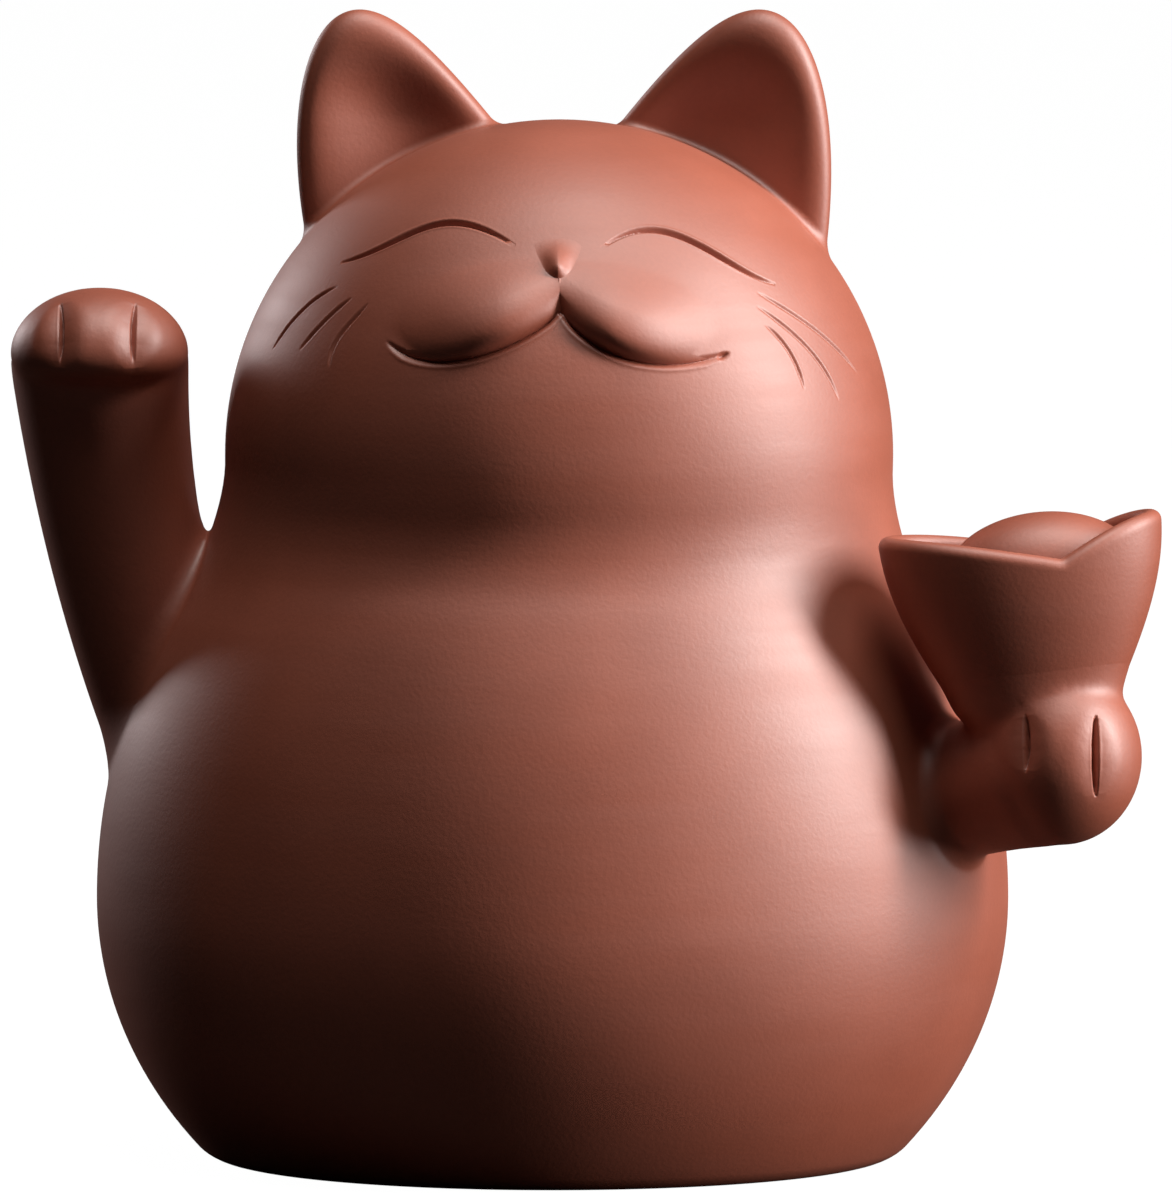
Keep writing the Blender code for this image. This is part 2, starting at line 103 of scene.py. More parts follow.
def oval(half, semi_height, level):
    share = np.clip(1.0 - (level / semi_height) ** 2, 0.0, 1.0)
    return np.where(np.abs(level) < semi_height + WELD, half * np.sqrt(share), -1.0)


def reach(z, belly_half, rise, head_half, shift, blend):
    level = z - BELLY_LEVEL
    belly = oval(belly_half, np.where(level > 0, rise, BELLY_DROP), level)
    head = oval(head_half, HEAD_RADIUS, z - HEAD_LEVEL) + shift
    low = np.clip(FOOT_ROUND - z, 0.0, FOOT_ROUND)
    inset = FOOT_ROUND - np.sqrt(FOOT_ROUND ** 2 - low ** 2)
    return soft_max(belly, head, blend) - inset


def section(z):
    """Middle and half-sizes of the oval at a height: x and y of the middle, then of the halves."""
    right = reach(z, BELLY_HALF_WIDTH, BELLY_RISE, HEAD_RADIUS, HEAD_ASIDE, NECK_BLEND)
    left = reach(z, BELLY_HALF_WIDTH, BELLY_RISE, HEAD_RADIUS, -HEAD_ASIDE, NECK_BLEND)
    front = reach(z, BELLY_HALF_DEPTH, CHEST_RISE, HEAD_HALF_DEPTH, HEAD_FORWARD, CHIN_BLEND)
    back = reach(z, BELLY_HALF_DEPTH, BELLY_RISE, HEAD_HALF_DEPTH, -HEAD_FORWARD, NECK_BLEND)
    return (right - left) / 2, (back - front) / 2, (right + left) / 2, (back + front) / 2


def skin(z, turn):
    mid_x, mid_y, half_x, half_y = section(z)
    x = mid_x + half_x * np.sin(turn)
    y = mid_y - half_y * np.cos(turn)
    return np.stack([x, y, z + 0 * turn], -1)


def skin_normal(z, turn):
    z = np.clip(z, END_GAP, HEAD_TOP - END_GAP)
    across = skin(z, turn + TURN_STEP) - skin(z, turn - TURN_STEP)
    upward = skin(z + RISE_STEP, turn) - skin(z - RISE_STEP, turn)
    normal = np.cross(across, upward)
    return normal / np.linalg.norm(normal, axis=-1, keepdims=True)


def turn_of(points):
    z = np.clip(points[:, 2], 0.0, HEAD_TOP - POLE_GAP)
    mid_x, mid_y, half_x, half_y = section(z)
    return np.arctan2((points[:, 0] - mid_x) / half_x, -(points[:, 1] - mid_y) / half_y)


def on_front(x, z):
    mid_x, _, half_x, _ = section(z)
    return skin(z, np.arcsin(np.clip((x - mid_x) / half_x, -1.0, 1.0)))


print("widest section half-sizes, mm:", [round(float(v) * 1000, 1) for v in section(BELLY_LEVEL)])

# %% [markdown]
# ## Height over the skin
# To smooth a foot of clay out, the height of its points over the skin has to be known. The
# crown is a plain egg, so heights there are measured from the egg's middle, which has no pole
# at the top.

# %% Height over the skin
CROWN_SHARE = 0.4
CROWN_LEVEL = HEAD_LEVEL + CROWN_SHARE * HEAD_RADIUS
HEAD_MIDDLE = np.array([HEAD_ASIDE, -HEAD_FORWARD, HEAD_LEVEL])
HEAD_HALF = np.array([HEAD_RADIUS, HEAD_HALF_DEPTH, HEAD_RADIUS])


def height_over_skin(points):
    """How far points stand off the skin, and the skin's outward direction there."""
    z = np.clip(points[:, 2], END_GAP, HEAD_TOP - END_GAP)
    turn = turn_of(points)
    normal = skin_normal(z, turn)
    height = ((points - skin(z, turn)) * normal).sum(1)
    crown = points[:, 2] > CROWN_LEVEL
    share = (points[crown] - HEAD_MIDDLE) / HEAD_HALF
    size = np.linalg.norm(share, axis=1)
    slope = share / HEAD_HALF / size[:, None]
    steep = np.linalg.norm(slope, axis=1)
    height[crown] = (size - 1) / steep
    normal[crown] = slope / steep[:, None]
    return height, normal


print(f"the crown begins at {1000 * CROWN_LEVEL:.1f} mm")

# %% [markdown]
# ## Clay worker's helpers
# A slab of clay is a flat grid. Wrapped round a form, its two edges are welded, as a potter
# closes a slab into a tube. Modifiers are added and applied one after the other, as from the
# modifier menu.

# %% Clay worker's helpers
def take_up(piece):
    bpy.ops.object.select_all(action="DESELECT")
    piece.select_set(True)
    bpy.context.view_layer.objects.active = piece


def points_of(piece):
    flat = np.empty(len(piece.data.vertices) * 3)
    piece.data.vertices.foreach_get("co", flat)
    return flat.reshape(-1, 3)


def normals_of(piece):
    flat = np.empty(len(piece.data.vertices) * 3, dtype=np.float32)
    piece.data.vertex_normals.foreach_get("vector", flat)
    return flat.reshape(-1, 3).astype(float)


def press(piece, points):
    flat = np.ascontiguousarray(points, dtype=np.float32).ravel()
    piece.data.vertices.foreach_set("co", flat)
    piece.data.update()


def use_modifier(piece, kind, **settings):
    take_up(piece)
    bpy.ops.object.modifier_add(type=kind)
    modifier = piece.modifiers[-1]
    for name, value in settings.items():
        setattr(modifier, name, value)
    bpy.ops.object.modifier_apply(modifier=modifier.name)


def weld(piece):
    take_up(piece)
    bpy.ops.object.mode_set(mode="EDIT")
    bpy.ops.mesh.select_all(action="SELECT")
    bpy.ops.mesh.remove_doubles(threshold=WELD)
    bpy.ops.mesh.normals_make_consistent(inside=False)
    bpy.ops.object.mode_set(mode="OBJECT")
    bpy.ops.object.shade_smooth()


def wrap_slab(name, around, along, place):
    """Grid primitive whose points go to place(u, v), with u round the form and v up it."""
    bpy.ops.object.select_all(action="DESELECT")
    bpy.ops.mesh.primitive_grid_add(x_subdivisions=around, y_subdivisions=along, size=2.0)
    piece = bpy.context.object
    piece.name = name
    flat = points_of(piece)
    press(piece, place((flat[:, 0] + 1) / 2, (flat[:, 1] + 1) / 2))
    weld(piece)
    return piece


def pick_faces(piece, chosen):
    """Selects faces by a mask and goes into edit mode."""
    take_up(piece)
    mesh = piece.data
    mesh.vertices.foreach_set("select", np.zeros(len(mesh.vertices), dtype=bool))
    mesh.edges.foreach_set("select", np.zeros(len(mesh.edges), dtype=bool))
    mesh.polygons.foreach_set("select", chosen)
    bpy.context.tool_settings.mesh_select_mode = (False, False, True)
    bpy.ops.object.mode_set(mode="EDIT")


def face_middles(piece):
    flat = np.empty(len(piece.data.polygons) * 3)
    piece.data.polygons.foreach_get("center", flat)
    return flat.reshape(-1, 3)


def count(piece):
    triangles = sum(len(face.vertices) - 2 for face in piece.data.polygons)
    return f"{piece.name}: {triangles} triangles"


print(f"points closer than {WELD / MM:.3f} mm are welded")

# %% [markdown]
# ## Belly and head
# The potter throws or presses the body in two hollow halves and joins them at the neck. The
# skin is wrapped as one slab from the foot to the crown, with close rings at the neck and the
# foot, and is then separated at the neck ring, so that both rims match. Solidify gives each
# shell its wall.

# %% Belly and head
FOOT_RINGS = 8
BELLY_RINGS = 64
HEAD_RINGS = 60
SKIN_ROUND = 200
NECK_RING_GAPS = np.array([-0.5, -0.25, -0.12, 0.0, 0.12, 0.25, 0.5]) * MM
SHARP_ANGLE = math.radians(50)
foot_rings = FOOT_ROUND * (1 - np.cos(np.linspace(0, math.pi / 2, FOOT_RINGS)))
neck_rings = NECK_LEVEL + NECK_RING_GAPS
belly_rings = np.linspace(FOOT_ROUND, neck_rings[0], BELLY_RINGS)[1:-1]
neck_lift = math.asin((neck_rings[-1] - HEAD_LEVEL) / HEAD_RADIUS)
lifts = np.linspace(neck_lift, math.pi / 2, HEAD_RINGS)[1:]
head_rings = HEAD_LEVEL + HEAD_RADIUS * np.sin(lifts)
ring_heights = np.concatenate([foot_rings, belly_rings, neck_rings, head_rings])


def place_skin(u, v):
    row = np.rint(v * len(ring_heights)).astype(int)
    turn = u * math.tau
    points = skin(ring_heights[np.maximum(row - 1, 0)], turn)
    flat = FOOT_OPENING / 2 * np.stack([np.sin(turn), -np.cos(turn), 0 * turn], -1)
    return np.where((row == 0)[:, None], flat, points)


belly = wrap_slab("belly", SKIN_ROUND, len(ring_heights), place_skin)
pick_faces(belly, face_middles(belly)[:, 2] > NECK_LEVEL)
bpy.ops.mesh.separate(type="SELECTED")
bpy.ops.object.mode_set(mode="OBJECT")
head = next(obj for obj in bpy.context.selected_objects if obj != belly)
head.name = "head"
for shell in (belly, head):
    use_modifier(shell, "SOLIDIFY", thickness=WALL, offset=-1.0, use_even_offset=True)
    bpy.ops.object.shade_smooth_by_angle(angle=SHARP_ANGLE)
    print(count(shell))

# %% [markdown]
# ## Drawing point
# A line on the face is a curve with four handles, in millimetres across and up, dropped on the
# skin. A point drawn through leather-hard clay leaves a groove that thins out at its ends, and
# pushes up a small burr along its edges. Faces near a line are subdivided first, which gives
# clean edges.

# %% Drawing point
LINE_STEPS = 260
LINE_MARGIN = 4.0 * MM
POINTS_AT_ONCE = 4000
THINNEST = 0.03
TIP_WIDTH = 0.4
GROOVE_POWER = 1.5
BURR_PLACE = 1.25
BURR_WIDTH = 0.7


def curve_through(handles, steps=LINE_STEPS):
    t = np.linspace(0.0, 1.0, steps)[:, None]
    a, b, c, d = (np.array(handle) * MM for handle in handles)
    return a * (1 - t) ** 3 + 3 * b * (1 - t) ** 2 * t + 3 * c * (1 - t) * t ** 2 + d * t ** 3


def face_line(handles):
    flat = curve_through(handles)
    return on_front(flat[:, 0], flat[:, 1])


def nearest_on(line, points):
    """Distance of each point to a line, and how far along the line that is, from 0 to 1."""
    distance = np.full(len(points), 1.0)
    along = np.zeros(len(points))
    low, high = line.min(0) - LINE_MARGIN, line.max(0) + LINE_MARGIN
    index = np.flatnonzero(((points > low) & (points < high)).all(1))
    for part in np.array_split(index, len(index) // POINTS_AT_ONCE + 1):
        gaps = np.linalg.norm(points[part, None] - line[None], axis=2)
        if len(part):
            distance[part] = gaps.min(1)
            along[part] = gaps.argmin(1) / (len(line) - 1)
    return distance, along


def nearest_of(lines, points):
    return np.min([nearest_on(line, points)[0] for line in lines], axis=0)


def cut_finer(piece, chosen, cuts):
    """Subdivides the faces of a mask."""
    pick_faces(piece, chosen)
    bpy.ops.mesh.subdivide(number_cuts=cuts, ngon=False)
    bpy.ops.object.mode_set(mode="OBJECT")


def carve(piece, line, half_width, depth, outward, fade=0.35, burr=0.07, upper_burr=1.0):
    """Presses a groove with raised edges; fade is the share of its length that thins out."""
    points = points_of(piece)
    distance, along = nearest_on(line, points)
    taper = np.sqrt(np.clip(np.minimum(along, 1 - along) / fade, THINNEST, 1.0))
    offset = distance / (half_width * (TIP_WIDTH + (1 - TIP_WIDTH) * taper))
    groove = depth * np.clip(1 - offset, 0.0, 1.0) ** GROOVE_POWER
    edge_share = np.clip(1 - np.abs(offset - BURR_PLACE) / BURR_WIDTH, 0.0, 1.0)
    edge = burr * depth * taper * edge_share ** 2
    line_z = np.interp(along, np.linspace(0.0, 1.0, len(line)), line[:, 2])
    edge *= np.where(points[:, 2] > line_z, upper_burr, 1.0)
    press(piece, points - outward * (taper * (groove - edge))[:, None])


print("points along a drawn line:", LINE_STEPS)

# %% [markdown]
# ## Lines drawn in the face
# Closed eyes, whiskers and the smile are drawn in the head. The smile is deepest in two pits,
# at its middle and at one corner. Its upper edge has no burr, because the pads of the muzzle
# cover it.

# %% Lines drawn in the face
EYES = [
    [(-18.6, 81.5), (-12.3, 83.5), (-10.1, 87.5), (-3.4, 83.4)],
    [(4.5, 83.2), (9.9, 87.3), (14.7, 81.4), (19.7, 79.7)],
]
WHISKERS = [
    [(-19.1, 79.4), (-21.5, 78.3), (-23.5, 76.0), (-24.8, 73.7)],
    [(-17.8, 78.5), (-19.5, 77.2), (-21.0, 75.6), (-22.3, 73.9)],
    [(-16.3, 78.1), (-17.7, 76.4), (-19.6, 75.0), (-19.7, 72.6)],
    [(18.2, 79.0), (21.6, 77.0), (24.9, 74.8), (27.1, 71.5)],
    [(18.2, 77.8), (21.3, 75.7), (24.2, 73.1), (25.4, 69.4)],
    [(18.9, 76.2), (20.6, 74.8), (21.7, 73.1), (22.3, 70.6)],
]
MOUTH = [
    [(0.9, 77.9), (-2.4, 74.7), (-10.7, 71.4), (-14.5, 74.9)],
    [(0.7, 77.9), (4.2, 73.2), (10.0, 72.3), (15.3, 73.9)],
]
PITS = [
    [(14.6, 73.6), (14.9, 73.65), (15.2, 73.75), (15.6, 73.95)],
    [(0.8, 77.4), (0.8, 77.8), (0.8, 78.2), (0.78, 78.7)],
]
EYE_CUT = {"half_width": 0.4 * MM, "depth": 0.85 * MM}
WHISKER_CUT = {"half_width": 0.28 * MM, "depth": 0.24 * MM, "fade": 0.2}
MOUTH_CUT = {
    "half_width": 0.5 * MM, "depth": 0.42 * MM, "fade": 0.12, "burr": 0.16, "upper_burr": 0.0,
}
PIT_CUT = {"half_width": 0.42 * MM, "depth": 0.5 * MM, "burr": 0.0}
FINER_WIDTHS = (1.9 * MM, 1.1 * MM)
FINER_CUTS = 2
FLATTENED_WIDTH = 3.0 * MM

cuts = [(EYES, EYE_CUT), (WHISKERS, WHISKER_CUT), (MOUTH, MOUTH_CUT), (PITS, PIT_CUT)]
drawn = [(face_line(handles), cut) for curves, cut in cuts for handles in curves]
lines = [line for line, cut in drawn]
for width in FINER_WIDTHS:
    cut_finer(head, nearest_of(lines, face_middles(head)) < width, FINER_CUTS)
points = points_of(head)
near = nearest_of(lines, points) < FLATTENED_WIDTH
points[near] = skin(points[near, 2], turn_of(points[near]))
press(head, points)
face_out = skin_normal(points[:, 2], turn_of(points))
for line, cut in drawn:
    carve(head, line, outward=face_out, **cut)
print(len(drawn), "lines,", count(head))

# %% [markdown]
# ## Slabs on the face
# Muzzle and nose are thin slabs laid on the face. A place function tells for each point of a
# grid where it lies across and up and how high over the skin. The slab gets a thickness
# inwards. Another helper turns the shading to the skin's own where a slab runs out flat, as a
# wet finger wipes an edge away.

# %% Slabs on the face
SLAB_THICKNESS = 0.6 * MM
WIPE_HEIGHT = 0.25 * MM
WIPE_SLOPE = math.cos(math.radians(26))


def wipe_edge(slab):
    """Turns the shading to the skin's own where a slab runs out flat on the face."""
    height, out = height_over_skin(points_of(slab))
    normals = normals_of(slab)
    flat = (normals * out).sum(1) > WIPE_SLOPE
    share = (np.clip(1 - height / WIPE_HEIGHT, 0.0, 1.0) * flat)[:, None]
    turned = np.where(share > 0, normals * (1 - share) + out * share, 0.0)
    slab.data.normals_split_custom_set_from_vertices(turned)


def lay_on_face(name, across, up, place):
    """Slab laid on the face: place(u, v) gives x, z and the height over the skin."""
    def raised(u, v):
        x, z, height = place(u, v)
        base = on_front(x, z)
        return base + skin_normal(base[:, 2], turn_of(base)) * height[:, None]

    slab = wrap_slab(name, across, up, raised)
    if normals_of(slab)[:, 1].mean() > 0:
        bpy.ops.object.mode_set(mode="EDIT")
        bpy.ops.mesh.flip_normals()
        bpy.ops.object.mode_set(mode="OBJECT")
    use_modifier(slab, "SOLIDIFY", thickness=SLAB_THICKNESS, offset=-1.0)
    bpy.ops.object.shade_smooth_by_angle(angle=SHARP_ANGLE)
    print(count(slab))
    return slab


print(f"slabs on the face are {SLAB_THICKNESS / MM:.1f} mm thick")

# %% [markdown]
# ## Muzzle
# Two pads of clay make the cheeks of the smile. Each starts under the mouth line, rolls out
# over it as a full lip, and is smoothed away upwards into the face. A slab is laid between the
# mouth line and a line across the cheek, and raised off the skin by a swelling height. Its
# upper edge is wiped.

# %% Muzzle
PAD_BULGE = 1.9 * MM
PAD_LIP = 0.5 * MM
PAD_ROLL = 3.2 * MM
PAD_FULLEST = 0.36
PAD_START = 0.45
PAD_FALL = 0.15
PAD_SINK = 0.02 * MM
LIP_SINK = 0.4 * MM
PIT_RISE = 1.5 * MM
PIT_WIDTH = 0.065
PIT_SHARE = 0.8
DIVE_START = 0.93
DIVE_DEPTH = 0.5 * MM
LIP_ROWS_POWER = 1.7
CURVE_STEPS = 2000
PAD_GRID = (120, 72)
CHEEKS = [
    [(0.55, 84.2), (-3.6, 83.3), (-13.4, 84.4), (-17.0, 77.4)],
    [(0.35, 84.2), (4.5, 83.1), (14.4, 84.0), (17.8, 76.8)],
]


def swelling(s, up):
    """Fullness of a pad along the mouth: low in the middle with a pit below, full to the side."""
    grow = np.clip(s / PAD_FULLEST, 0.0, 1.0)
    start = PAD_START + (1 - PAD_START) * grow * grow * (3 - 2 * grow)
    pit = 1.0 - PIT_SHARE * np.exp(-((s / PIT_WIDTH) ** 2)) * np.clip(1 - up / PIT_RISE, 0.0, 1.0)
    past = np.clip((s - PAD_FULLEST) / (1 - PAD_FULLEST), 0, 1)
    return start * pit * np.cos(past * math.pi / 2) ** 2


def pad_height(s, up, length):
    """Height of a pad over the face and the roll of its lip, at a distance up from the mouth."""
    roll = np.clip(up / np.minimum(PAD_ROLL, length / 2), 0.0, 1.0)
    lip = np.sqrt(1.0 - (1.0 - roll) ** 2)
    past = np.clip((up / length - PAD_FALL) / (1 - PAD_FALL), 0.0, 1.0)
    fall = np.cos(past * math.pi / 2) ** 2
    return PAD_BULGE * swelling(s, up) * lip * fall - LIP_SINK * (1 - lip), roll


def along_curve(handles, u):
    return curve_through(handles, CURVE_STEPS + 1)[np.rint(u * CURVE_STEPS).astype(int)]


def make_pad(name, mouth, cheek):
    def place(u, v):
        rise = v ** LIP_ROWS_POWER
        low, high = along_curve(mouth, u), along_curve(cheek, u)
        length = np.linalg.norm(high - low, axis=1)
        height, roll = pad_height(u, rise * length, length)
        dive = np.clip((u - DIVE_START) / (1 - DIVE_START), 0.0, 1.0) ** 2
        flat = low + (high - low) * rise[:, None]
        sag = PAD_LIP * swelling(u, rise * length) * np.sin(roll * math.pi)
        return flat[:, 0], flat[:, 1] - sag, height - PAD_SINK * rise - DIVE_DEPTH * dive

    pad = lay_on_face(name, *PAD_GRID, place)
    wipe_edge(pad)
    return pad


right_pad = make_pad("right_cheek_pad", MOUTH[0], CHEEKS[0])
left_pad = make_pad("left_cheek_pad", MOUTH[1], CHEEKS[1])

# %% [markdown]
# ## Nose
# The nose is a pinch of clay between the pads: a low bridge that comes out of the brow, narrows
# to a wedge and ends in a blunt tip. It is seated on the pads, so their height is worked out at
# each of its points first, and the pinch is added to it.

# %% Nose
NOSE_BULGE = 0.8 * MM
NOSE_TIP_LEVEL = 80.1 * MM
NOSE_LENGTH = 4.3 * MM
NOSE_MIDDLE = 0.55 * MM
NOSE_TIP_HALF = 0.8 * MM
NOSE_FLARE = 2.2 * MM
NOSE_TIP_SHARE = 0.25
NOSE_TIP_SINK = 0.3 * MM
NOSE_SINK = 0.03 * MM
BROW_START = 0.2
PAD_REACH = 12.5 * MM
SEARCH_STEPS = 8
NOSE_GRID = (40, 48)


def height_of_pads(x, z):
    """Height of the pads at places on the face; the column of the pad is found in a few steps."""
    height = np.zeros_like(x)
    for side, mouth, cheek in zip((-1, 1), MOUTH, CHEEKS):
        aside = side * (x - NOSE_MIDDLE)
        u = np.clip(aside / PAD_REACH, 0.0, 1.0)
        for _ in range(SEARCH_STEPS):
            low, high = along_curve(mouth, u), along_curve(cheek, u)
            rise = (z - low[:, 1]) / (high[:, 1] - low[:, 1])
            miss = x - low[:, 0] - (high[:, 0] - low[:, 0]) * rise
            u = np.clip(u + side * miss / PAD_REACH, 0.0, 1.0)
        length = np.linalg.norm(high - low, axis=1)
        height = np.where(aside >= 0, pad_height(u, rise * length, length)[0], height)
    return height


def place_nose(u, v):
    side = 2 * u - 1
    x = NOSE_MIDDLE + side * (NOSE_TIP_HALF + NOSE_FLARE * v)
    z = NOSE_TIP_LEVEL + NOSE_LENGTH * v
    tip = np.sin(np.clip(v / NOSE_TIP_SHARE, 0.0, 1.0) * math.pi / 2)
    brow = np.cos(np.clip((v - BROW_START) / (1 - BROW_START), 0.0, 1.0) * math.pi / 2) ** 2
    pinch = NOSE_BULGE * np.cos(side * math.pi / 2) ** 2 * tip * brow
    return x, z, height_of_pads(x, z) + pinch - NOSE_TIP_SINK * (1 - tip) - NOSE_SINK


nose = lay_on_face("pinched_nose", *NOSE_GRID, place_nose)

# %% [markdown]
# ## Luting
# A piece that is stuck on with slip has its foot smoothed out over the clay below in a hollow
# curve. This helper drags the points close to the skin outwards along it, the more the closer
# they are, and lifts what is deep inside the body to just under the skin. Where the foot runs
# out, the shading is turned to the skin's own here too.

# %% Luting
LUTE_ROOT = 0.8 * MM
LUTE_WIPE = 0.14
FLAT_SLOPE = 0.2
SLOPE_RANGE = 0.4
TINY = 1e-6
FINER_HEIGHT = 0.9 * MM


def refine_at_skin(piece):
    height, _ = height_over_skin(face_middles(piece))
    cut_finer(piece, np.abs(height) < FINER_HEIGHT, FINER_CUTS)


def lute(piece, fillet):
    points = points_of(piece)
    normals = normals_of(piece)
    height, out = height_over_skin(points)
    along = normals - (normals * out).sum(1)[:, None] * out
    length = np.linalg.norm(along, axis=1)
    along /= np.maximum(length, TINY)[:, None]
    level = np.clip(height, -LUTE_ROOT, fillet) / fillet
    spread = fillet * (1 - np.sign(level) * np.sqrt(1 - (1 - np.abs(level)) ** 2))
    spread *= np.clip((length - FLAT_SLOPE) / SLOPE_RANGE, 0.0, 1.0)
    points += along * spread[:, None]
    moved_height, moved_out = height_over_skin(points)
    lift = np.where(height < fillet, np.maximum(height, -LUTE_ROOT) - moved_height, 0.0)
    press(piece, points + moved_out * lift[:, None])
    height, out = height_over_skin(points_of(piece))
    wipe = np.clip(1 - height / (LUTE_WIPE * fillet), 0.0, 1.0)[:, None]
    normals = normals_of(piece) * (1 - wipe) + out * wipe
    normals /= np.linalg.norm(normals, axis=1, keepdims=True)
    piece.data.normals_split_custom_set_from_vertices(normals)


print(f"luted pieces reach {LUTE_ROOT / MM:.1f} mm under the skin")

# %% [markdown]
# ## Ears
# Each ear is a leaf of clay with a rounded tip, hollowed in front, leaning inwards and turned a
# little. A slab is wrapped round an oval that widens from the tip as a parabola does, its front
# is pressed in with a thumb so that a rounded rim is left, and its root is luted to the head.

# %% Ears
EAR_HEIGHT = 26.0 * MM
EAR_HALF_THICKNESS = 3.7 * MM
EAR_TIP_ROUND = 10.0 * MM
EAR_DISH = 3.4 * MM
EAR_LEAN = 0.268
EAR_TIP_LEVEL = HEAD_TOP + 9.8 * MM
EAR_PLACE_Y = 0.5 * MM
EAR_FILLET = 0.9 * MM
EAR_GRID = (128, 110)
EAR_UPPER_ROWS = 0.7
EAR_UPPER_DROP = 0.8
ROOT_TRIALS = 400
ROOT_TRIAL_START = 3.0 * MM
RIGHT_EAR = {
    "side": -1, "tip_x": -17.3 * MM, "half_width": 14.2 * MM,
    "bow": 5.4, "turn": math.radians(3),
}
LEFT_EAR = {
    "side": 1, "tip_x": 18.55 * MM, "half_width": 15.3 * MM,
    "bow": 4.2, "turn": math.radians(-15),
}


def leaf(u, drop, side, tip_x, half_width, bow, turn):
    """Points round an ear at a drop below its tip; the leaf leans and bows inwards."""
    angle = u * math.tau
    tip = np.minimum(drop / EAR_TIP_ROUND, 1.0)
    full = np.sqrt(1.0 - (1.0 - tip) ** 2)
    across = half_width * np.sqrt(drop / EAR_HEIGHT) * np.sin(angle)
    across -= side * (EAR_LEAN + bow * drop) * drop
    depth = -EAR_HALF_THICKNESS * full * np.cos(angle)
    depth += EAR_DISH * np.clip(np.cos(angle), 0, 1) ** 3 * tip ** 2 * (3 - 2 * tip)
    cosine, sine = math.cos(turn), math.sin(turn)
    x = tip_x + across * cosine - depth * sine
    y = EAR_PLACE_Y + across * sine + depth * cosine
    return np.stack([x, y, EAR_TIP_LEVEL - drop], -1)


def make_ear(name, shape):
    columns = np.linspace(0.0, 1.0, EAR_GRID[0] + 1)
    trial = np.linspace(ROOT_TRIAL_START, EAR_HEIGHT, ROOT_TRIALS)
    outlines = [leaf(np.full(ROOT_TRIALS, column), trial, **shape) for column in columns]
    heights = np.array([height_over_skin(outline)[0] for outline in outlines])
    roots = trial[np.argmax(heights < -LUTE_ROOT, axis=1)]

    def place(u, v):
        down = 1 - v
        past = (down - EAR_UPPER_ROWS) / (1 - EAR_UPPER_ROWS)
        upper = EAR_UPPER_DROP * (down / EAR_UPPER_ROWS) ** 2
        lower = EAR_UPPER_DROP + (1 - EAR_UPPER_DROP) * past
        share = np.where(down < EAR_UPPER_ROWS, upper, lower)
        return leaf(u, np.interp(u, columns, roots) * share, **shape)

    ear = wrap_slab(name, *EAR_GRID, place)
    bpy.ops.object.mode_set(mode="EDIT")
    bpy.context.tool_settings.mesh_select_mode = (True, False, False)
    bpy.ops.mesh.select_all(action="DESELECT")
    bpy.ops.mesh.select_non_manifold()
    bpy.ops.mesh.edge_face_add()
    bpy.ops.object.mode_set(mode="OBJECT")
    weld(ear)
    lute(ear, EAR_FILLET)
    print(count(ear), f"root {1000 * roots.min():.1f} to {1000 * roots.max():.1f} mm below the tip")
    return ear


right_ear = make_ear("right_ear_leaf", RIGHT_EAR)
left_ear = make_ear("left_ear_leaf", LEFT_EAR)

# %% [markdown]
# ## Rolls and balls of clay
# An arm is a roll of clay, and a paw is a ball pressed on its end. The roll is a wrapped slab
# and the ball a sphere primitive. They are joined, a voxel remesh melts them into one lump and
# a smooth modifier rubs the join away, as a wet finger does. The toes are pressed in with a
# blade afterwards.

# %% Rolls and balls of clay
ROLL_CAP = 0.12
ROLL_FLARE = 2.5
ROLL_GRID = (64, 90)
BALL_GRID = (48, 32)
FINE_BALL_GRID = (96, 64)
VOXEL = 0.3 * MM
RUB = 0.5
TOE_STEPS = 200
TOE_FINER = 1.2 * MM
TOE_BURR = 0.02
VALLEY_HALF_WIDTH = 2.2 * MM


def add_ball(name, size, middle, grid=BALL_GRID):
    bpy.ops.object.select_all(action="DESELECT")
    segments, rings = grid
    bpy.ops.mesh.primitive_uv_sphere_add(
        segments=segments, ring_count=rings, radius=0.5, location=middle
    )
    ball = bpy.context.object
    ball.name = name
    bpy.ops.transform.resize(value=size)
    bpy.ops.object.transform_apply(location=True, rotation=True, scale=True)
    bpy.ops.object.shade_smooth()
    return ball


def roll_of_clay(name, start, bend, end, radius_start, radius_end, end_cap=1.0):
    def place(u, v):
        t = np.clip((v - ROLL_CAP) / (1 - 2 * ROLL_CAP), 0.0, 1.0)[:, None]
        cap = np.clip((ROLL_CAP - v) / ROLL_CAP, 0.0, 1.0)
        cap -= np.clip((v - 1 + ROLL_CAP) / ROLL_CAP, 0.0, 1.0)
        middle = start * (1 - t) ** 2 + 2 * bend * t * (1 - t) + end * t ** 2
        along = (bend - start) * (1 - t) + (end - bend) * t
        along = along / np.linalg.norm(along, axis=1, keepdims=True)
        right = np.cross(along, (0.0, 1.0, 0.0))
        right = right / np.linalg.norm(right, axis=1, keepdims=True)
        forward = np.cross(right, along)
        radius = radius_start + (radius_end - radius_start) * t ** ROLL_FLARE
        angle = (u * math.tau)[:, None]
        lift = (cap * math.pi / 2)[:, None]
        ring = (right * np.sin(angle) + forward * np.cos(angle)) * np.cos(lift)
        dome = np.sin(lift) * np.where(lift < 0, end_cap, 1.0)
        return middle + (ring - along * dome) * radius

    return wrap_slab(name, *ROLL_GRID, place)


